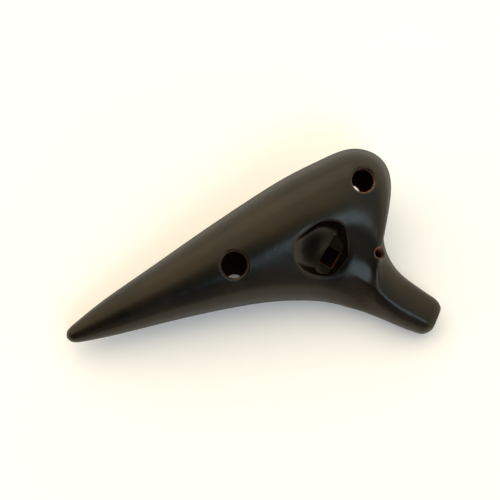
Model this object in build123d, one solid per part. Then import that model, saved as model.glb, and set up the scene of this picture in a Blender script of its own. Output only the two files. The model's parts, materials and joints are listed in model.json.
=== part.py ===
from build123d import *
import math
import os

# A twelve-hole transverse ocarina in fired clay, finger side down on a table.
# Body frame while modelling: X along the body, tail at -X and head at +X; the blowing
# stem leaves on the -Y side; the thumb side (back) faces +Z; Z = 0 is the luting plane.

SECTION_POINTS = 32

# blowing stem, measured out from the middle of the sound window
STEM_ANGLE = -57.0
WINDOW_X, WINDOW_Y = 20.1, -10.2
STEM_JOINT = 15.0
WINDWAY_WIDTH, WINDWAY_HEIGHT = 8.6, 1.2
WINDWAY_EXIT, WINDWAY_EXIT_Z = 3.2, 11.0
WINDWAY_ENTRY, WINDWAY_ENTRY_Z = 57.4, 1.9
FLOOR_THICKNESS = 3.2
LABIUM_EDGE, LABIUM_EDGE_Z, RAMP_RISE = -3.2, 11.2, 32.0
LABIUM_WIDTH, LABIUM_LIP, LABIUM_ROOT, LABIUM_OVERHANG = 17.0, 0.4, -13.0, 1.5
BED_WIDTH = 36.0

# cord hole through the crotch between stem and head
CORD_RADIUS = 2.3
CORD_OUT, CORD_ACROSS, CORD_TILT = 18.6, 10.4, 11.0

# tone holes: x, y, diameter
THUMB_HOLES = [(-21.1, 6.9, 12.2), (48.9, 14.4, 10.6)]
FINGER_HOLES = [(-9.6, -2.0, 9.4), (-24.5, -2.2, 9.2), (-42.0, 0.5, 8.6), (-58.5, 4.0, 6.6),
                (13.0, 4.0, 8.0), (29.0, 11.5, 8.8), (45.0, 10.4, 8.4), (49.0, -1.5, 6.2),
                (-33.0, 8.0, 4.4), (36.0, 20.5, 4.2)]

# rounding of the lips, of the inside corner of the recess and of the blowing end
HOLE_LIP, THUMB_LIP, SCOOP_LIP, CORD_LIP = 0.8, 1.1, 1.1, 0.7
SCOOP_ROUND, END_LIP = 2.5, 1.8

# how it lies at rest, finger side down on a flat table: pitch to the tail, roll to the stem
REST_PITCH, REST_ROLL = -5.8, 16.2

# outline of the scooped voicing recess where it meets the skin: out, across
SCOOP = [(9.0, 0.4), (7.2, -6.0), (2.9, -9.9), (-3.4, -11.8), (-9.8, -11.6), (-15.0, -9.6),
         (-17.6, -4.6), (-15.4, 3.6), (-12.2, 10.0), (-7.6, 13.6), (-2.6, 14.2), (1.4, 11.4), (5.4, 7.2)]
SCOOP_LEVEL = 18.0

# hollow of the chamber: x, middle y, half width, half height
HOLLOW = [(-98.0, 11.1, 1.6, 1.5), (-92.0, 10.9, 3.1, 3.0), (-78.0, 10.3, 6.2, 5.8),
          (-52.0, 9.0, 11.0, 9.8), (-25.0, 7.4, 16.0, 13.7), (0.0, 5.7, 20.6, 16.6),
          (20.0, 5.3, 22.4, 17.4), (36.0, 5.9, 21.2, 17.2), (48.0, 9.6, 15.8, 14.6),
          (55.0, 12.4, 10.2, 10.2), (58.2, 13.6, 5.2, 5.4)]
HOLLOW_ENDS = [(-100.5, 11.2), (60.2, 14.0)]
HOLLOW_SECTIONS = 24

# Design stations of the skin, tail to blowing end.  Each section is upright and runs from a
# point on the hollow inner edge to a point on the outer edge (back, head, crotch, stem).
# place, inner x, inner y, outer x, outer y, half height, lean to the outer edge, fullness, hollow
STATIONS = [
    (0.000, -105.7, 11.5, -105.7, 11.6, 0.1, 0.00, 2.0, 0.0),
    (0.020, -104.2, 8.7, -104.2, 14.3, 2.9, 0.00, 2.0, 0.0),
    (0.045, -99.3, 6.5, -99.3, 16.1, 4.8, 0.00, 2.0, 0.0),
    (0.100, -84.0, 2.3, -84.0, 19.3, 8.2, 0.00, 2.0, 0.0),
    (0.180, -60.0, -3.3, -59.0, 22.8, 12.4, 0.00, 2.0, 0.0),
    (0.260, -36.0, -9.5, -32.0, 26.6, 16.2, 0.03, 2.0, 0.0),
    (0.340, -14.0, -16.6, -5.0, 29.9, 19.4, 0.10, 2.0, 0.02),
    (0.420, 2.0, -24.0, 20.0, 32.0, 21.4, 0.20, 2.0, 0.06),
    (0.490, 10.3, -29.2, 38.5, 31.8, 21.9, 0.29, 2.0, 0.11),
    (0.550, 15.5, -33.6, 53.7, 29.5, 21.7, 0.34, 2.0, 0.14),
    (0.610, 19.0, -36.8, 63.3, 18.7, 19.7, 0.38, 2.0, 0.12),
    (0.670, 22.0, -39.7, 60.5, 4.9, 16.5, 0.34, 2.0, 0.09),
    (0.730, 25.0, -42.8, 50.9, -7.2, 13.0, 0.20, 2.1, 0.04),
    (0.780, 27.8, -46.0, 45.9, -18.0, 10.8, 0.06, 2.25, 0.01),
    (0.830, 31.2, -49.9, 45.9, -29.3, 9.4, -0.04, 2.35, 0.0),
    (0.890, 36.0, -55.7, 50.0, -39.7, 7.8, -0.07, 2.45, 0.0),
    (0.940, 40.4, -60.4, 54.2, -47.5, 6.9, -0.06, 2.5, 0.0),
    (0.975, 43.9, -63.0, 56.5, -52.3, 6.1, -0.04, 2.5, 0.0),
    (1.000, 47.8, -63.1, 56.5, -55.7, 4.6, 0.00, 2.5, 0.0),
]
SKIN_PLACES = [0.008, 0.02, 0.033, 0.05, 0.075, 0.105, 0.14, 0.18, 0.22, 0.26, 0.30, 0.34, 0.38, 0.42,
               0.455, 0.49, 0.52, 0.55, 0.58, 0.61, 0.64, 0.67, 0.70, 0.73, 0.755, 0.78, 0.805, 0.83,
               0.86, 0.89, 0.915, 0.94, 0.96, 0.975, 0.99, 1.0]


def smooth_curve(knots, values):
    """Natural cubic curve through the values; returns a function of place."""
    n = len(knots)
    h = [knots[i + 1] - knots[i] for i in range(n - 1)]
    bend, c, d = [0.0] * n, [0.0] * n, [0.0] * n
    for i in range(1, n - 1):
        rise = 6 * ((values[i + 1] - values[i]) / h[i] - (values[i] - values[i - 1]) / h[i - 1])
        pivot = 2 * (h[i - 1] + h[i]) - h[i - 1] * c[i - 1]
        c[i] = h[i] / pivot
        d[i] = (rise - h[i - 1] * d[i - 1]) / pivot
    for i in range(n - 2, 0, -1):
        bend[i] = d[i] - c[i] * bend[i + 1]

    def value(x):
        k = max([i for i in range(n - 1) if knots[i] <= x] or [0])
        a, b = (knots[k + 1] - x) / h[k], (x - knots[k]) / h[k]
        return (a * values[k] + b * values[k + 1]
                + ((a**3 - a) * bend[k] + (b**3 - b) * bend[k + 1]) * h[k]**2 / 6)
    return value


def skin_section(place, curves):
    """One closed upright section of the skin."""
    xi, yi, xo, yo, high, lean, full, hollow = [c(place) for c in curves]
    points = []
    for k in range(SECTION_POINTS):
        turn = 2 * math.pi * k / SECTION_POINTS
        across, up = -math.cos(turn), math.sin(turn)
        r = (abs(across) ** full + abs(up) ** full) ** (-1 / full)
        u = r * across
        z = high * r * up * (1 + lean * u - hollow * math.exp(-((u + 0.35) / 0.3) ** 2))
        points.append(((xi + xo) / 2 + u * (xo - xi) / 2, (yi + yo) / 2 + u * (yo - yi) / 2, z))
    return Wire([Edge.make_spline(points, periodic=True,
                                  parameters=[k / SECTION_POINTS for k in range(SECTION_POINTS + 1)])])


def skin():
    """The whole outer form as one smooth face, closed by the blowing end."""
    places = [s[0] for s in STATIONS]
    curves = [smooth_curve(places, [s[i] for s in STATIONS]) for i in range(1, 9)]
    wires = [skin_section(p, curves) for p in SKIN_PLACES]
    form = Solid.make_loft([Vertex(STATIONS[0][1], STATIONS[0][2], 0)] + wires, False)
    blowing_end = form.faces().filter_by(GeomType.PLANE)[0]
    return form.fillet(END_LIP, blowing_end.edges())


STEM_WAY = (math.cos(math.radians(STEM_ANGLE)), math.sin(math.radians(STEM_ANGLE)), 0)
STEM = Plane(origin=(WINDOW_X, WINDOW_Y, 0), x_dir=STEM_WAY, z_dir=(0, 0, 1))


def stem_prism(profile, half_width):
    """A prism whose outline is drawn in the upright plane of the stem: (out, height) points."""
    points = [STEM.from_local_coords(Vector(out, -half_width, z)) for out, z in profile]
    across = STEM.y_dir * (2 * half_width)
    return Solid.extrude(Face(Wire.make_polygon(points, close=True)), across)


def windway_z(out):
    """Height of the middle of the air channel."""
    share = (out - WINDWAY_EXIT) / (WINDWAY_ENTRY - WINDWAY_EXIT)
    return WINDWAY_EXIT_Z + share * (WINDWAY_ENTRY_Z - WINDWAY_EXIT_Z)


def windway_slab(start, stop, below, above, half_width):
    """A slab that follows the slope of the windway."""
    return stem_prism([(start, windway_z(start) + below), (stop, windway_z(stop) + below),
                       (stop, windway_z(stop) + above), (start, windway_z(start) + above)], half_width)


def chamber_hollow():
    """The air chamber, a loft of upright ellipses closed to a point at both ends."""
    stations = [s[0] for s in HOLLOW]
    middle, wide, high = [smooth_curve(stations, [s[i] for s in HOLLOW]) for i in (1, 2, 3)]
    wires = []
    for k in range(HOLLOW_SECTIONS):
        x = HOLLOW[0][0] + (HOLLOW[-1][0] - HOLLOW[0][0]) * k / (HOLLOW_SECTIONS - 1)
        upright = Plane(origin=(x, middle(x), 0), x_dir=(0, 1, 0), z_dir=(1, 0, 0))
        wires.append(Wire([Edge.make_ellipse(wide(x), high(x), upright)]))
    ends = [Vertex(x, y, 0) for x, y in HOLLOW_ENDS]
    return Solid.make_loft([ends[0]] + wires + [ends[1]], False)


def scoop_ring(size, level):
    """The outline of the recess, scaled about its middle, at one height."""
    mid_out, mid_across = -4.5, 1.0
    points = []
    for out, across in SCOOP:
        local = Vector(mid_out + size * (out - mid_out), mid_across + size * (across - mid_across), level)
        points.append(STEM.from_local_coords(local))
    return Wire([Edge.make_spline(points, periodic=True)])


def scoop():
    """The recess: steep flared walls standing on a flat ramp that falls to the window."""
    walls = Solid.make_loft([scoop_ring(0.80, SCOOP_LEVEL - 8), scoop_ring(1.25, SCOOP_LEVEL + 10)], True)
    rise = math.tan(math.radians(RAMP_RISE))
    above = stem_prism([(LABIUM_EDGE - 27, LABIUM_EDGE_Z + 27 * rise), (LABIUM_EDGE, LABIUM_EDGE_Z),
                        (WINDWAY_EXIT, LABIUM_EDGE_Z), (WINDWAY_EXIT + 10, LABIUM_EDGE_Z + 8.2),
                        (WINDWAY_EXIT + 10, 34), (LABIUM_EDGE - 27, 34)], 28)
    return walls & above


def rounded_scoop():
    """The recess with a soft inside corner where the walls meet the ramp."""
    cutter = scoop()
    rise = math.tan(math.radians(RAMP_RISE))

    def on_ramp(p):
        q = STEM.to_local_coords(p)
        return q.X < LABIUM_EDGE - 0.5 and abs(q.Z - LABIUM_EDGE_Z - (LABIUM_EDGE - q.X) * rise) < 0.02
    edges = [e for e in cutter.edges() if all(on_ramp(e.position_at(q)) for q in (0.2, 0.5, 0.8))]
    return cutter.fillet(SCOOP_ROUND, edges)


def window_bed():
    """Thickened clay around the sound window, inside the chamber wall."""
    return stem_prism([(9, 6.0), (9, 30), (-24, 30), (-24, 14.6), (LABIUM_EDGE - LABIUM_OVERHANG, 9.2)],
                      BED_WIDTH / 2)


def labium():
    """The wedge whose thin edge splits the air jet; its top is the ramp of the recess."""
    rise = (LABIUM_EDGE - LABIUM_ROOT) * math.tan(math.radians(RAMP_RISE))
    under = LABIUM_EDGE_Z - LABIUM_LIP
    return stem_prism([(LABIUM_EDGE, under), (LABIUM_EDGE, LABIUM_EDGE_Z),
                       (LABIUM_ROOT, LABIUM_EDGE_Z + rise), (LABIUM_ROOT, under + 2.6)], LABIUM_WIDTH / 2)


def windway_floor(form):
    """The flat slab under the air channel, flush with the blowing end."""
    top = -WINDWAY_HEIGHT / 2
    return windway_slab(WINDWAY_EXIT, 62, top - FLOOR_THICKNESS, top, WINDWAY_WIDTH / 2) & form


def windway_tunnel():
    """The slot for the air channel and the slab below it."""
    top = WINDWAY_HEIGHT / 2
    return windway_slab(WINDWAY_EXIT, 62, top - WINDWAY_HEIGHT - FLOOR_THICKNESS, top, WINDWAY_WIDTH / 2)


def sound_window():
    """The upright window between the end of the air channel and the edge of the labium."""
    back = LABIUM_EDGE - LABIUM_OVERHANG
    return stem_prism([(back, 2), (back, LABIUM_EDGE_Z), (LABIUM_EDGE, LABIUM_EDGE_Z), (LABIUM_EDGE, 16),
                       (WINDWAY_EXIT, 16), (WINDWAY_EXIT, 2)], WINDWAY_WIDTH / 2)


def drill(hole, side):
    """An upright drill that reaches out of the hollow through one shell."""
    x, y, diameter = hole
    return Pos(x, y, side * 20) * Cylinder(diameter / 2, 36)


def cord_drill():
    """The drill for the cord hole, leaned across the stem."""
    lean = math.radians(CORD_TILT)
    middle = STEM.from_local_coords(Vector(CORD_OUT, CORD_ACROSS, 0))
    axis = STEM.y_dir * math.sin(lean) + Vector(0, 0, math.cos(lean))
    return Solid.make_cylinder(CORD_RADIUS, 60, Plane(origin=middle - axis * 30, z_dir=axis))


def stem_span(start, stop):
    """All space between two upright planes square to the stem."""
    return stem_prism([(start, -40), (start, 40), (stop, 40), (stop, -40)], 120)


def half_space(side):
    """All space on one side of the luting plane."""
    return Pos(0, 0, side * 50) * Box(400, 400, 100)


def on_joint(p):
    """True on the luting plane and on the plane where the stem is luted on."""
    return abs(p.Z) < 0.02 or abs(STEM.to_local_coords(p).X - STEM_JOINT) < 0.02


def skin_edges(solid, wanted):
    """Edges of the outer skin whose points pass the rule."""
    outer = max(solid.faces(), key=lambda f: f.area)
    return [e for e in outer.edges() if all(wanted(e.position_at(q)) for q in (0.1, 0.5, 0.9))]


def softened(solid, wanted, radius):
    """Round the chosen lips with the largest radius that the curved skin takes."""
    edges = skin_edges(solid, wanted)
    for share in (1.0, 0.9, 0.8, 0.7, 0.6):
        try:
            rounded = solid.fillet(radius * share, edges)
        except ValueError:
            continue
        if rounded.is_valid:
            print("lip rounded", round(radius * share, 2))
            return rounded
    print("lip left sharp")
    return solid


def with_tone_hole(shell, hole, side, lip):
    """Drill one tone hole and round its outer lip."""
    x, y, diameter = hole
    drilled = (shell - drill(hole, side)).solid()
    return softened(drilled, lambda p: abs(math.hypot(p.X - x, p.Y - y) - diameter / 2) < 0.05, lip)


def back_shell(clay):
    """Thumb side: recess with a rounded rim, sound window, seats for the inserts, thumb holes."""
    shell = ((clay & half_space(1)) - rounded_scoop()).solid()
    shell = softened(shell, lambda p: not on_joint(p), SCOOP_LIP)
    shell = (shell - sound_window() - windway_tunnel() - labium()).solid()
    for hole in THUMB_HOLES:
        shell = with_tone_hole(shell, hole, 1, THUMB_LIP)
    return shell


def front_shell(clay):
    """Finger side with its ten tone holes."""
    shell = (clay & half_space(-1)).solid()
    for hole in FINGER_HOLES:
        shell = with_tone_hole(shell, hole, -1, HOLE_LIP)
    return shell


def mouthpiece(form):
    """The blowing stem with the slot for the air channel and the cord hole."""
    stem = ((form & stem_span(STEM_JOINT, 120)) - windway_tunnel() - cord_drill()).solid()
    return softened(stem, lambda p: not on_joint(p) and p.Y > -45, CORD_LIP)


def ocarina():
    """The five clay pieces in the body frame."""
    form = skin()
    clay = (form - (chamber_hollow() - window_bed())) & stem_span(-160, STEM_JOINT)
    return {
        "front_shell": front_shell(clay),
        "back_shell": back_shell(clay),
        "mouthpiece": mouthpiece(form),
        "windway_floor": windway_floor(form),
        "labium": labium(),
    }


def at_rest(pieces):
    """Lay the instrument finger side down with the box's bottom centre at the origin."""
    tilt = Rot(REST_ROLL, 0, 0) * Rot(0, REST_PITCH, 0)
    tilted = {name: tilt * piece for name, piece in pieces.items()}
    boxes = [piece.bounding_box() for piece in tilted.values()]
    low = [min(tuple(box.min)[i] for box in boxes) for i in range(3)]
    high = [max(tuple(box.max)[i] for box in boxes) for i in range(3)]
    shift = Pos(-(low[0] + high[0]) / 2, -(low[1] + high[1]) / 2, -low[2])
    print("moved to rest by", shift.position)
    return {name: shift * piece for name, piece in tilted.items()}


os.makedirs("parts", exist_ok=True)
for name, piece in at_rest(ocarina()).items():
    print(name, round(piece.volume), "mm3")
    export_step(piece, f"parts/{name}.step")
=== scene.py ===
# %% [markdown]
# # A clay ocarina, dressed
# This lesson dresses a twelve-hole ocarina that lies finger side down on a pale table. The clay
# body, its stem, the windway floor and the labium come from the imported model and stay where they
# are. Blender gives them their coat, their raw clay, their light and the table.

# %% Load the clay parts
import json
import math

import bpy
from mathutils import Euler, Matrix, Vector

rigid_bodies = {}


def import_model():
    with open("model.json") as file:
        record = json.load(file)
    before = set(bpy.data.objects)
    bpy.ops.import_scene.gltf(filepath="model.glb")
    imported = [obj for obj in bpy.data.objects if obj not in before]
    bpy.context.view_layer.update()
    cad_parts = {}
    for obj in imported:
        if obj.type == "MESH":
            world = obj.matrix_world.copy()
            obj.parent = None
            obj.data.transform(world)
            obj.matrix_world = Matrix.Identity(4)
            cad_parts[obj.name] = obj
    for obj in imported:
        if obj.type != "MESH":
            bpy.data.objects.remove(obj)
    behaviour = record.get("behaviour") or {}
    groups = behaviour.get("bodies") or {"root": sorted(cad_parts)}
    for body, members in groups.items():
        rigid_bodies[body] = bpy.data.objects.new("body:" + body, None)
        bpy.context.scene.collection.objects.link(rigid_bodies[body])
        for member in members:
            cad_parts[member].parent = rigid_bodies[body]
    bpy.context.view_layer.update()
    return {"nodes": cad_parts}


for thing in list(bpy.data.objects):
    bpy.data.objects.remove(thing)
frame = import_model()
clay = frame["nodes"]
bpy.ops.object.select_all(action="DESELECT")
print("clay parts:", sorted(clay))

# %% [markdown]
# ## Where things are on the instrument
# The potter thinks along the body, not along the table: x runs from the tail to the head, y across,
# and z out of the thumb side, with z = 0 where the two shells are luted together. The instrument
# rolled a little to its stem when it was laid down, so one turn and one shift go from those
# workshop measures to the table. A second frame runs out along the blowing stem.

# %% Body and stem frames
MM = 0.001
LAID_AT = Vector((20.794, 15.666, 18.082)) * MM
LAID_TURN = Euler([math.radians(a) for a in (16.279, -5.569, -1.623)])
LAID = Matrix.Translation(LAID_AT) @ LAID_TURN.to_matrix().to_4x4()
STEM_TURN = math.radians(-57.0)
WINDOW = Vector((20.1, -10.2, 0.0)) * MM
STEM = LAID @ Matrix.Translation(WINDOW) @ Matrix.Rotation(STEM_TURN, 4, "Z")


def on_table(x, y, z=0.0):
    """A point in workshop millimetres, as a point on the table."""
    return LAID @ (Vector((x, y, z)) * MM)


print("tail tip", on_table(-106, 11.3), "window", on_table(20.1, -10.2, 11))

# %% [markdown]
# ## Shader building blocks
# A finish is a small graph of nodes. A few helpers keep the graphs short: one adds a node with its
# inputs already set or linked, one does a sum, one turns a value into a soft step, one measures
# how far a point is from an upright line. Working from Object coordinates, every pattern stays put
# on the clay whatever the view.

# %% Small helpers for node graphs
def add(tree, kind, settings=None, **inputs):
    """One node; inputs are numbers, colours or the sockets to link, by name or by i0, i1, i2."""
    node = tree.nodes.new("ShaderNode" + kind)
    for key, value in (settings or {}).items():
        setattr(node, key, value)
    for key, value in inputs.items():
        by_number = key[0] == "i" and key[1:].isdigit()
        slot = node.inputs[int(key[1:]) if by_number else key.replace("_", " ")]
        if isinstance(value, bpy.types.NodeSocket):
            tree.links.new(value, slot)
        else:
            slot.default_value = value
    return node


def sums(tree, operation, a, b=0.0, c=0.0, clamp=False):
    """One Math node."""
    settings = {"operation": operation, "use_clamp": clamp}
    return add(tree, "Math", settings, i0=a, i1=b, i2=c).outputs[0]


def step(tree, value, start, stop, low=0.0, high=1.0):
    """A smooth step from low to high while value goes from start to stop."""
    node = add(tree, "MapRange", {"interpolation_type": "SMOOTHSTEP", "clamp": True}, Value=value)
    for key, number in (("From Min", start), ("From Max", stop), ("To Min", low), ("To Max", high)):
        node.inputs[key].default_value = number
    return node.outputs[0]


def noise(tree, where, size, detail=3.0, roughness=0.55, stretch=None):
    """Even clay-like noise whose lumps are about size metres across."""
    if stretch:
        where = add(tree, "Mapping", {}, Vector=where, Scale=stretch).outputs[0]
    return add(tree, "TexNoise", {}, Vector=where, Scale=1.0 / size, Detail=detail,
               Roughness=roughness).outputs[0]


def mixed(tree, share, a, b):
    """A colour between a and b."""
    node = add(tree, "Mix", {"data_type": "RGBA"})
    for key, value in ((0, share), (6, a), (7, b)):
        if isinstance(value, bpy.types.NodeSocket):
            tree.links.new(value, node.inputs[key])
        else:
            node.inputs[key].default_value = value
    return node.outputs[2]


def frame_coordinates(tree, matrix):
    """Object coordinates seen from another frame, in metres."""
    place, turn, _ = matrix.decompose()
    here = add(tree, "TexCoord").outputs["Object"]
    return add(tree, "Mapping", {"vector_type": "TEXTURE"}, Vector=here, Location=place,
               Rotation=turn.to_euler()).outputs[0]


def off_axis(tree, where, x=0.0, y=0.0):
    """Distance from the upright line through x, y."""
    flat = add(tree, "VectorMath", {"operation": "MULTIPLY_ADD"}, i0=where, i1=(1, 1, 0),
               i2=(-x, -y, 0))
    return add(tree, "VectorMath", {"operation": "LENGTH"}, i0=flat.outputs[0]).outputs["Value"]


# %% [markdown]
# ## Where the coat stops
# The black coat covers the outside and rolls over each lip, but the walls of the holes and the
# chamber were never coated: they show the fired clay. One value says how far a point is from the
# nearest hole's wall, another whether it lies in the chamber, and both get a ragged edge, as a
# brush or a dip leaves it.

# %% Distance to the tone holes
THUMB_HOLES = [(-21.1, 6.9, 12.2), (48.9, 14.4, 10.6)]
FINGER_HOLES = [(-9.6, -2.0, 9.4), (-24.5, -2.2, 9.2), (-42.0, 0.5, 8.6), (-58.5, 4.0, 6.6),
                (13.0, 4.0, 8.0), (29.0, 11.5, 8.8), (45.0, 10.4, 8.4), (49.0, -1.5, 6.2),
                (-33.0, 8.0, 4.4), (36.0, 20.5, 4.2)]


def gap_to_holes(tree, body, holes):
    """Metres outward from the nearest hole's wall; below zero inside a hole."""
    nearest = None
    for x, y, width in holes:
        gap = sums(tree, "SUBTRACT", off_axis(tree, body, x * MM, y * MM), width / 2 * MM)
        nearest = gap if nearest is None else sums(tree, "MINIMUM", nearest, gap)
    return nearest


print("holes:", len(THUMB_HOLES), "for the thumbs,", len(FINGER_HOLES), "for the fingers")

# %% Distance to the chamber
CHAMBER = [(-98.0, 11.1, 1.6, 1.5), (-92.0, 10.9, 3.1, 3.0), (-78.0, 10.3, 6.2, 5.8),
           (-52.0, 9.0, 11.0, 9.8), (-25.0, 7.4, 16.0, 13.7), (0.0, 5.7, 20.6, 16.6),
           (20.0, 5.3, 22.4, 17.4), (36.0, 5.9, 21.2, 17.2), (48.0, 9.6, 15.8, 14.6),
           (55.0, 12.4, 10.2, 10.2), (58.2, 13.6, 5.2, 5.4)]
CHAMBER_MARGIN, CHAMBER_FROM, CHAMBER_TO = 1.3, -101, 61
CURVE_FULL, TYPICAL_RADIUS = 30, 15


def along_chamber(tree, x, column, margin=0.0):
    """A chamber measure, read off a curve along the body, in metres."""
    first, last = CHAMBER[0][0], CHAMBER[-1][0]
    share = add(tree, "MapRange", {"clamp": True}, Value=x)
    share.inputs["From Min"].default_value = first * MM
    share.inputs["From Max"].default_value = last * MM
    curve = add(tree, "FloatCurve", {}, Value=share.outputs[0])
    line = curve.mapping.curves[0]
    spots = [((s[0] - first) / (last - first), (s[column] + margin) / CURVE_FULL) for s in CHAMBER]
    line.points[0].location, line.points[-1].location = spots[0], spots[-1]
    for spot in spots[1:-1]:
        line.points.new(*spot)
    curve.mapping.update()
    return sums(tree, "MULTIPLY", curve.outputs[0], CURVE_FULL * MM)


def in_chamber(tree, body):
    """Above zero outside the chamber's clay wall, below zero within it."""
    x, y, z = add(tree, "SeparateXYZ", {}, i0=body).outputs
    middle = along_chamber(tree, x, 1)
    wide = along_chamber(tree, x, 2, CHAMBER_MARGIN)
    high = along_chamber(tree, x, 3, CHAMBER_MARGIN)
    across = sums(tree, "DIVIDE", sums(tree, "SUBTRACT", y, middle), wide)
    up = sums(tree, "DIVIDE", z, high)
    squares = sums(tree, "MULTIPLY_ADD", across, across, sums(tree, "MULTIPLY", up, up))
    radius = sums(tree, "SQRT", squares)
    wall = sums(tree, "MULTIPLY", sums(tree, "SUBTRACT", radius, 1.0), TYPICAL_RADIUS * MM)
    past_tail = sums(tree, "SUBTRACT", CHAMBER_FROM * MM, x)
    past_head = sums(tree, "SUBTRACT", x, CHAMBER_TO * MM)
    return sums(tree, "MAXIMUM", wall, sums(tree, "MAXIMUM", past_tail, past_head))


print("chamber from", CHAMBER_FROM, "to", CHAMBER_TO, "mm along the body")

# %% [markdown]
# ## The recess and the window
# The recess is scooped out of the thumb side with a loop tool and coated with the outside, down
# to the edges of the window. Its bed lies over the chamber, so it needs its own rule: coat above
# the bed, clay below it. Light hardly reaches the corner beside the window, so painted shade turns
# the coat's shine down there.

# %% Recess and window
RAMP_START, BED_LEVEL, RAMP_SLOPE, FRONT_SLOPE = 3.2, 10.6, 0.625, 0.82
RECESS_REACH, RECESS_BACK, RECESS_FRONT = 17, 21, 12
WINDOW_SIDE, WINDOW_AHEAD, WINDOW_OFF, WINDOW_TOP = 4.35, 3.75, 0.5, 11.5
CRISP_RECESS, CRISP_WINDOW = 8.0, 3.0
DEEP_AT = (2.4, -1.6)


def over_recess(tree, stem):
    """Above zero on the ramp and walls of the recess, below zero under its clay bed."""
    out, across, up = add(tree, "SeparateXYZ", {}, i0=stem).outputs
    behind = sums(tree, "MAXIMUM", sums(tree, "SUBTRACT", -RAMP_START * MM, out), 0.0)
    before = sums(tree, "MAXIMUM", sums(tree, "SUBTRACT", out, RAMP_START * MM), 0.0)
    front = sums(tree, "MULTIPLY_ADD", before, FRONT_SLOPE, BED_LEVEL * MM)
    floor = sums(tree, "MULTIPLY_ADD", behind, RAMP_SLOPE, front)
    reach = sums(tree, "SUBTRACT", RECESS_REACH * MM, sums(tree, "ABSOLUTE", across))
    from_back = sums(tree, "ADD", out, RECESS_BACK * MM)
    length = sums(tree, "MINIMUM", from_back, sums(tree, "SUBTRACT", RECESS_FRONT * MM, out))
    above = sums(tree, "MINIMUM", sums(tree, "SUBTRACT", up, floor), reach)
    return sums(tree, "MULTIPLY", sums(tree, "MINIMUM", above, length), CRISP_RECESS)


def gap_to_window(tree, stem):
    """Above zero outside the sound window's walls, below zero within it."""
    out, across, up = add(tree, "SeparateXYZ", {}, i0=stem).outputs
    sides = sums(tree, "SUBTRACT", sums(tree, "ABSOLUTE", across), WINDOW_SIDE * MM)
    from_middle = sums(tree, "ABSOLUTE", sums(tree, "ADD", out, WINDOW_OFF * MM))
    ahead = sums(tree, "SUBTRACT", from_middle, WINDOW_AHEAD * MM)
    over = sums(tree, "SUBTRACT", up, WINDOW_TOP * MM)
    outside = sums(tree, "MAXIMUM", sums(tree, "MAXIMUM", sides, ahead), over)
    return sums(tree, "MULTIPLY", outside, CRISP_WINDOW)


def recess_painted_shade(tree):
    """Painted shade: one beside the window deep in the recess, where little light comes, 0
    elsewhere.
    """
    stem = frame_coordinates(tree, STEM)
    up = add(tree, "SeparateXYZ", {}, i0=stem).outputs[2]
    away = off_axis(tree, stem, DEEP_AT[0] * MM, DEEP_AT[1] * MM)
    below_skin = step(tree, up, 14 * MM, 17 * MM, 1.0, 0.0)
    below_rim = sums(tree, "MULTIPLY", below_skin, step(tree, up, 5 * MM, 7 * MM))
    return sums(tree, "MULTIPLY", step(tree, away, 5.5 * MM, 10 * MM, 1.0, 0.0), below_rim)


print("window", 2 * WINDOW_SIDE, "by", 2 * WINDOW_AHEAD, "mm")

# %% [markdown]
# ## Relief drawn by shading
# Three reliefs are worked into the skin before the coat: the recess bed is rubbed hollow
# with a fingertip, the stem is drawn to a soft ridge from the recess to the blowing end, and a
# short row of dashes is pressed beside the luting line near the tail. Here all three are drawn by
# shading alone, and the mesh under them stays as the clay parts came.

# %% Hollow, ridge and dashes
BOWL_AT, BOWL_SIZE, BOWL_DEPTH = (-4.2, 0.6), (14.0, 13.5), 4.2 * MM
RIDGE_RISE, RIDGE_ROUND = 2.0 * MM, 1.0 * MM
RIDGE_FROM, RIDGE_TO, RIDGE_START_AT, RIDGE_END_AT = 7.5, 33.0, -0.3, -3.4
DASHES_FROM, DASHES_TO, DASH_PITCH, DASH_HEIGHT = -63.0, -45.0, 2.4, 1.2
DASH_DEPTH = 0.35 * MM


def bowl_of_recess(tree):
    """Height of a soft bowl, 0 at the bottom of the recess and 1 at its rim."""
    stem = frame_coordinates(tree, STEM)
    spot = add(tree, "Mapping", {"vector_type": "TEXTURE"}, Vector=stem,
               Location=(BOWL_AT[0] * MM, BOWL_AT[1] * MM, 0),
               Scale=(BOWL_SIZE[0] * MM, BOWL_SIZE[1] * MM, 1)).outputs[0]
    bowl = step(tree, off_axis(tree, spot), 0.0, 1.06)
    up = add(tree, "SeparateXYZ", {}, i0=stem).outputs[2]
    thumb_side = step(tree, up, 7 * MM, 8 * MM)
    below_rim = sums(tree, "MULTIPLY", sums(tree, "SUBTRACT", 1.0, bowl), thumb_side)
    return sums(tree, "SUBTRACT", 1.0, below_rim)


def ridge_of_stem(tree):
    """Height of the soft ridge that runs out along the stem from the recess to the blowing end."""
    out, across, up = add(tree, "SeparateXYZ", {}, i0=frame_coordinates(tree, STEM)).outputs
    line = add(tree, "MapRange", {"clamp": True}, Value=out)
    for key, number in (("From Min", RIDGE_FROM), ("From Max", RIDGE_TO),
                        ("To Min", RIDGE_START_AT), ("To Max", RIDGE_END_AT)):
        line.inputs[key].default_value = number * MM
    aside = sums(tree, "SUBTRACT", across, line.outputs[0])
    away = sums(tree, "SQRT", sums(tree, "MULTIPLY_ADD", aside, aside, RIDGE_ROUND ** 2))
    roof = step(tree, away, -5 * MM, 9 * MM, 1.0, 0.0)
    upper = sums(tree, "MULTIPLY", roof, step(tree, up, -2 * MM, 3 * MM))
    return sums(tree, "MULTIPLY", upper, step(tree, out, 8 * MM, 26 * MM))


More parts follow.
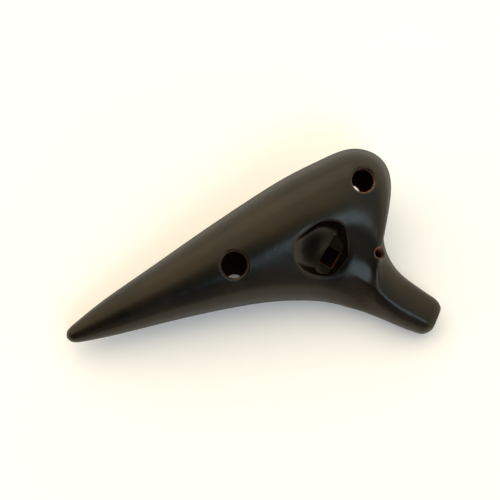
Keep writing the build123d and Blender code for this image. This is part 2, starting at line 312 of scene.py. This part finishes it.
def dashes(tree, body):
    """A short row of pressed dashes beside the luting line: 0 at their bottoms, 1 on the skin."""
    x, y, z = add(tree, "SeparateXYZ", {}, i0=body).outputs
    along = sums(tree, "FRACT", sums(tree, "DIVIDE", x, DASH_PITCH * MM))
    from_middle = sums(tree, "ABSOLUTE", sums(tree, "SUBTRACT", along, 0.5))
    dash = step(tree, from_middle, 0.22, 0.34, 1.0, 0.0)
    from_line = sums(tree, "ABSOLUTE", sums(tree, "SUBTRACT", z, DASH_HEIGHT * MM))
    line = step(tree, from_line, 0.6 * MM, 0.9 * MM, 1.0, 0.0)
    start = step(tree, x, DASHES_FROM * MM, (DASHES_FROM + 0.5) * MM)
    end = step(tree, x, (DASHES_TO - 0.5) * MM, DASHES_TO * MM, 1.0, 0.0)
    stem_side = step(tree, y, 2 * MM, 4 * MM, 1.0, 0.0)
    row = sums(tree, "MULTIPLY", start, end)
    pressed = sums(tree, "MULTIPLY", sums(tree, "MULTIPLY", dash, line), row)
    return sums(tree, "SUBTRACT", 1.0, sums(tree, "MULTIPLY", pressed, stem_side))


print("dashes:", int((DASHES_TO - DASHES_FROM) / DASH_PITCH), "in a row")

# %% [markdown]
# ## The two finishes
# The coat is a thin satin black over the clay: not a pure black but a warm olive one, a little
# cloudy, with faint burnishing marks along the body and a skin that is not quite flat. Where a
# fingertip or a cord rubs, near the lips, it is thinner and browner. The raw clay is matt and
# red-brown, with grog grains and small pits. Painted shade darkens the clay towards the chamber,
# past its own colour, and the coat is drawn duller where it is seen edge on than the real finish
# is.

# %% Coat and clay in one material
COAT_DEEP, COAT_WARM = (0.0020, 0.0018, 0.0015, 1), (0.0095, 0.0050, 0.0032, 1)
COAT_GLOSS, COAT_SHINE_TINT = 0.33, (1.0, 0.91, 0.70, 1)
COAT_WORN = (0.034, 0.017, 0.010, 1)
CLAY_DARK, CLAY_LIGHT = (0.17, 0.060, 0.032, 1), (0.42, 0.19, 0.115, 1)
CLAY_SHADED = (0.018, 0.005, 0.003, 1)
CLAY_ROUGHNESS, COAT_ROUGHNESS = 0.88, 0.16
CLOUD, SWELL, STROKE, FINE, RAGGED, GROG = (size * MM for size in (26, 14, 1.6, 1.1, 0.8, 0.55))


def clay_colour(tree, body, grog):
    """Red-brown clay with grog, with painted shade darkening it towards the chamber."""
    red = mixed(tree, step(tree, grog, 0.32, 0.70), CLAY_DARK, CLAY_LIGHT)
    # painted shade: the clay goes near black towards the chamber, standing in for the dark inside
    # it
    inside = step(tree, in_chamber(tree, body), 1.5 * MM, 5.0 * MM, 0.85, 0.0)
    return mixed(tree, inside, red, CLAY_SHADED)


def coat_colour(tree, clouds, fine, worn):
    """Cloudy warm black, browner where it is rubbed."""
    black = mixed(tree, step(tree, clouds, 0.34, 0.66), COAT_DEEP, COAT_WARM)
    rubbed = sums(tree, "MULTIPLY", worn, step(tree, fine, 0.3, 0.75, 0.15, 0.8))
    return mixed(tree, rubbed, black, COAT_WORN)


def how_rough(tree, coat, clouds, strokes, worn):
    """Satin on the coat, matt on the clay."""
    cloudy = sums(tree, "MULTIPLY_ADD", clouds, 0.10, COAT_ROUGHNESS)
    satin = sums(tree, "MULTIPLY_ADD", strokes, 0.10, cloudy)
    satin = sums(tree, "ADD", satin, sums(tree, "MULTIPLY", worn, 0.10))
    bare = sums(tree, "MULTIPLY", sums(tree, "SUBTRACT", 1.0, coat), CLAY_ROUGHNESS)
    return sums(tree, "ADD", sums(tree, "MULTIPLY", coat, satin), bare, clamp=True)


def relief(tree, layers):
    """Bump layers one over the other, each a height, a strength and a depth in metres."""
    over = None
    for height, strength, depth in layers:
        bump = add(tree, "Bump", {}, Height=height, Strength=strength, Distance=depth)
        if over:
            tree.links.new(over, bump.inputs["Normal"])
        over = bump.outputs[0]
    return over


def coated_clay(name, gap_of):
    """Satin black coat that gives way to raw clay where gap_of says the gap is below zero."""
    material = bpy.data.materials.new(name)
    material.use_nodes = True
    tree = material.node_tree
    tree.nodes.clear()
    body = frame_coordinates(tree, LAID)
    here = add(tree, "TexCoord").outputs["Object"]
    ragged = sums(tree, "MULTIPLY_ADD", noise(tree, here, RAGGED, 2.0), 0.5 * MM, -0.25 * MM)
    gap = sums(tree, "ADD", gap_of(tree, body), ragged)
    coat = step(tree, gap, 0.05 * MM, 0.22 * MM)
    worn = step(tree, gap, 0.2 * MM, 0.9 * MM, 1.0, 0.0)

    clouds = noise(tree, here, CLOUD, 3.0)
    fine = noise(tree, here, FINE, 4.0, 0.6)
    strokes = noise(tree, body, STROKE, 3.0, 0.6, stretch=(0.09, 1.0, 1.0))
    grog = noise(tree, here, GROG, 3.0, 0.7)
    colour = mixed(tree, coat, clay_colour(tree, body, grog), coat_colour(tree, clouds, fine, worn))

    marks = dashes(tree, body)
    burnish = sums(tree, "ADD", fine, sums(tree, "MULTIPLY", strokes, 0.8))
    grain = sums(tree, "MULTIPLY", grog, sums(tree, "SUBTRACT", 1.0, coat))
    swell = noise(tree, here, SWELL, 2.0)
    skin = relief(tree, [(ridge_of_stem(tree), 1.0, RIDGE_RISE),
                         (bowl_of_recess(tree), 1.0, BOWL_DEPTH),
                         (marks, 0.9, DASH_DEPTH), (swell, 0.35, 0.4 * MM),
                         (burnish, 0.22, 0.05 * MM), (coat, 0.5, 0.06 * MM),
                         (grain, 0.6, 0.25 * MM)])

    # painted shade: the coat's shine is turned down beside the window deep in the recess; it is
    # also turned down at the bottoms of the pressed dashes
    deep = sums(tree, "MAXIMUM", recess_painted_shade(tree), sums(tree, "SUBTRACT", 1.0, marks))
    gloss = sums(tree, "MULTIPLY_ADD", deep, -0.85 * COAT_GLOSS, COAT_GLOSS)
    shader = add(tree, "BsdfPrincipled", {}, Base_Color=colour, Normal=skin,
                 Roughness=how_rough(tree, coat, clouds, strokes, worn))
    shader.inputs["Specular Tint"].default_value = COAT_SHINE_TINT
    tree.links.new(gloss, shader.inputs["Specular IOR Level"])
    facing = add(tree, "LayerWeight", {}, Blend=0.5).outputs["Facing"]
    dull = add(tree, "BsdfDiffuse", {}, Color=colour)
    both = add(tree, "MixShader", {}, i0=step(tree, facing, 0.50, 0.95, 0.0, 0.75),
               i1=shader.outputs[0], i2=dull.outputs[0])
    out = add(tree, "OutputMaterial")
    tree.links.new(both.outputs[0], out.inputs[0])
    return material


# %% [markdown]
# ## Dress each part
# Every part gets its own version, because each has its own holes: the thumb shell its two thumb
# holes and the window, the finger shell its ten finger holes, the stem its cord hole. The windway
# floor was never coated. The labium is coated all over.

# %% Masks part by part
CORD_AT, CORD_LEAN, CORD_RADIUS = (18.6, 10.4), math.radians(11.0), 2.3
EVERYWHERE = 1.0


def thumb_gap(tree, body):
    """Coat on the thumb shell outside its holes, its chamber and its window."""
    stem = frame_coordinates(tree, STEM)
    chamber = sums(tree, "MAXIMUM", in_chamber(tree, body), over_recess(tree, stem))
    holes = sums(tree, "MINIMUM", gap_to_holes(tree, body, THUMB_HOLES), chamber)
    return sums(tree, "MINIMUM", holes, gap_to_window(tree, stem))


def finger_gap(tree, body):
    """Coat on the finger shell outside its holes and its chamber."""
    return sums(tree, "MINIMUM", gap_to_holes(tree, body, FINGER_HOLES), in_chamber(tree, body))


def stem_gap(tree, body):
    """Coat on the stem outside its cord hole."""
    upright = STEM @ Matrix.Translation(Vector((*CORD_AT, 0)) * MM)
    cord = frame_coordinates(tree, upright @ Matrix.Rotation(-CORD_LEAN, 4, "X"))
    return sums(tree, "SUBTRACT", off_axis(tree, cord), CORD_RADIUS * MM)


def bare_gap(tree, body):
    """No coat anywhere."""
    return sums(tree, "ADD", add(tree, "SeparateXYZ", {}, i0=body).outputs[0], -EVERYWHERE)


def coat_gap(tree, body):
    """Coat everywhere."""
    return sums(tree, "ADD", add(tree, "SeparateXYZ", {}, i0=body).outputs[0], EVERYWHERE)


finishes = {"back_shell": thumb_gap, "front_shell": finger_gap, "mouthpiece": stem_gap,
            "windway_floor": bare_gap, "labium": coat_gap}
for name, gap_of in finishes.items():
    clay[name].data.materials.clear()
    clay[name].data.materials.append(coated_clay("finish_" + name, gap_of))
print("finishes:", [m.name for m in bpy.data.materials])

# %% [markdown]
# ## Table
# The instrument lies on a pale board, painted a warm white with faint clouds in the paint. Strong
# daylight fills its shadows from all round, which a little light of its own stands in for.

# %% Table
BOARD_SHADE, BOARD_PALE = (0.93, 0.905, 0.87, 1), (0.95, 0.93, 0.90, 1)
BOARD_ROUGHNESS, BOARD_FILL = 0.75, 0.10

bpy.ops.mesh.primitive_plane_add(size=3.0, location=(0, 0, 0))
table = bpy.context.object
table.name = "table"
board = bpy.data.materials.new("pale_board")
board.use_nodes = True
tree = board.node_tree
shader = tree.nodes["Principled BSDF"]
where = add(tree, "TexCoord").outputs["Object"]
paint = mixed(tree, noise(tree, where, 60 * MM, 3.0), BOARD_SHADE, BOARD_PALE)
tree.links.new(paint, shader.inputs["Base Color"])
shader.inputs["Roughness"].default_value = BOARD_ROUGHNESS
tree.links.new(paint, shader.inputs["Emission Color"])
shader.inputs["Emission Strength"].default_value = BOARD_FILL
table.data.materials.append(board)
print("table", tuple(table.dimensions))

# %% [markdown]
# ## Camera and light
# The camera looks steeply down from the stem's side. The light is a warm bright room with a soft
# window beyond the instrument. Behind the viewer the room is dark, which draws the black band
# along the body, and one small cool pane there draws the bright streak along the stem.

# %% Camera
AIM = on_table(-11.1, 9.3, 2.0)
HEADING, RISE, FAR = math.radians(28.25), math.radians(73.5), 0.85
FILM, VIEW_WIDTH = 36.0, 0.2333
LENS = FILM * FAR / VIEW_WIDTH
RIGHT = Vector((math.cos(HEADING), -math.sin(HEADING), 0))
AHEAD = Vector((math.sin(HEADING), math.cos(HEADING), 0))
UP = Vector((0, 0, 1))

bpy.ops.object.camera_add()
camera = bpy.context.object
camera.name = "camera"
back = UP * math.sin(RISE) - AHEAD * math.cos(RISE)
camera.location = AIM + back * FAR
camera.rotation_euler = back.to_track_quat("Z", "Y").to_euler()
camera.data.lens = LENS
camera.data.clip_start = 0.01
bpy.context.scene.camera = camera
print("camera", camera.location, "lens", LENS)


# %% Window light
def soft_light(name, right, ahead, up, size, power, colour):
    """A soft rectangular light placed from the instrument's middle and turned to it."""
    place = RIGHT * right + AHEAD * ahead + UP * up
    bpy.ops.object.light_add(type="AREA", location=place)
    lamp = bpy.context.object
    lamp.name = name
    lamp.rotation_euler = place.to_track_quat("Z", "Y").to_euler()
    lamp.data.shape = "RECTANGLE"
    lamp.data.size, lamp.data.size_y = size
    lamp.data.energy = power
    lamp.data.color = colour
    return lamp


window = soft_light("window_light", -0.45, 1.05, 0.95, (1.2, 0.8), 2.0, (1.0, 0.95, 0.86))
print("window light", window.data.energy, "W at", window.location)

# %% The room around it
# Each patch: side, height, outer and inner radius in degrees, and its colour.
ROOM = (1.50, 1.40, 1.08, 1)
PATCHES = [(-150, 33, 62, 14, (0.14, 0.12, 0.10, 1)), (-178, 33, 34, 12, (0.02, 0.02, 0.02, 1)),
           (175, 8, 34, 10, (0.35, 0.34, 0.34, 1)), (-50, 50, 45, 5, (1.75, 1.48, 1.12, 1)),
           (115, 50, 42, 8, (0.70, 0.76, 0.80, 1)), (158, 48, 15, 5, (2.6, 3.7, 5.2, 1))]


def toward(side, height):
    """Unit direction: degrees from straight ahead round to the right, then above the table."""
    a, h = math.radians(side), math.radians(height)
    return (RIGHT * math.sin(a) + AHEAD * math.cos(a)) * math.cos(h) + UP * math.sin(h)


world = bpy.data.worlds.new("room")
bpy.context.scene.world = world
world.use_nodes = True
sky = world.node_tree
look = add(sky, "TexCoord").outputs["Generated"]
glow = ROOM
for side, height, outer, inner, colour in PATCHES:
    dot = add(sky, "VectorMath", {"operation": "DOT_PRODUCT"}, i0=look, i1=toward(side, height))
    edges = [math.cos(math.radians(angle)) for angle in (outer, inner)]
    share = step(sky, dot.outputs["Value"], *edges)
    glow = mixed(sky, share, glow, colour)
sky.links.new(glow, sky.nodes["Background"].inputs[0])
sky.nodes["Background"].inputs[1].default_value = 1.0
bpy.context.scene.view_settings.view_transform = "Standard"
print("room patches:", len(PATCHES))
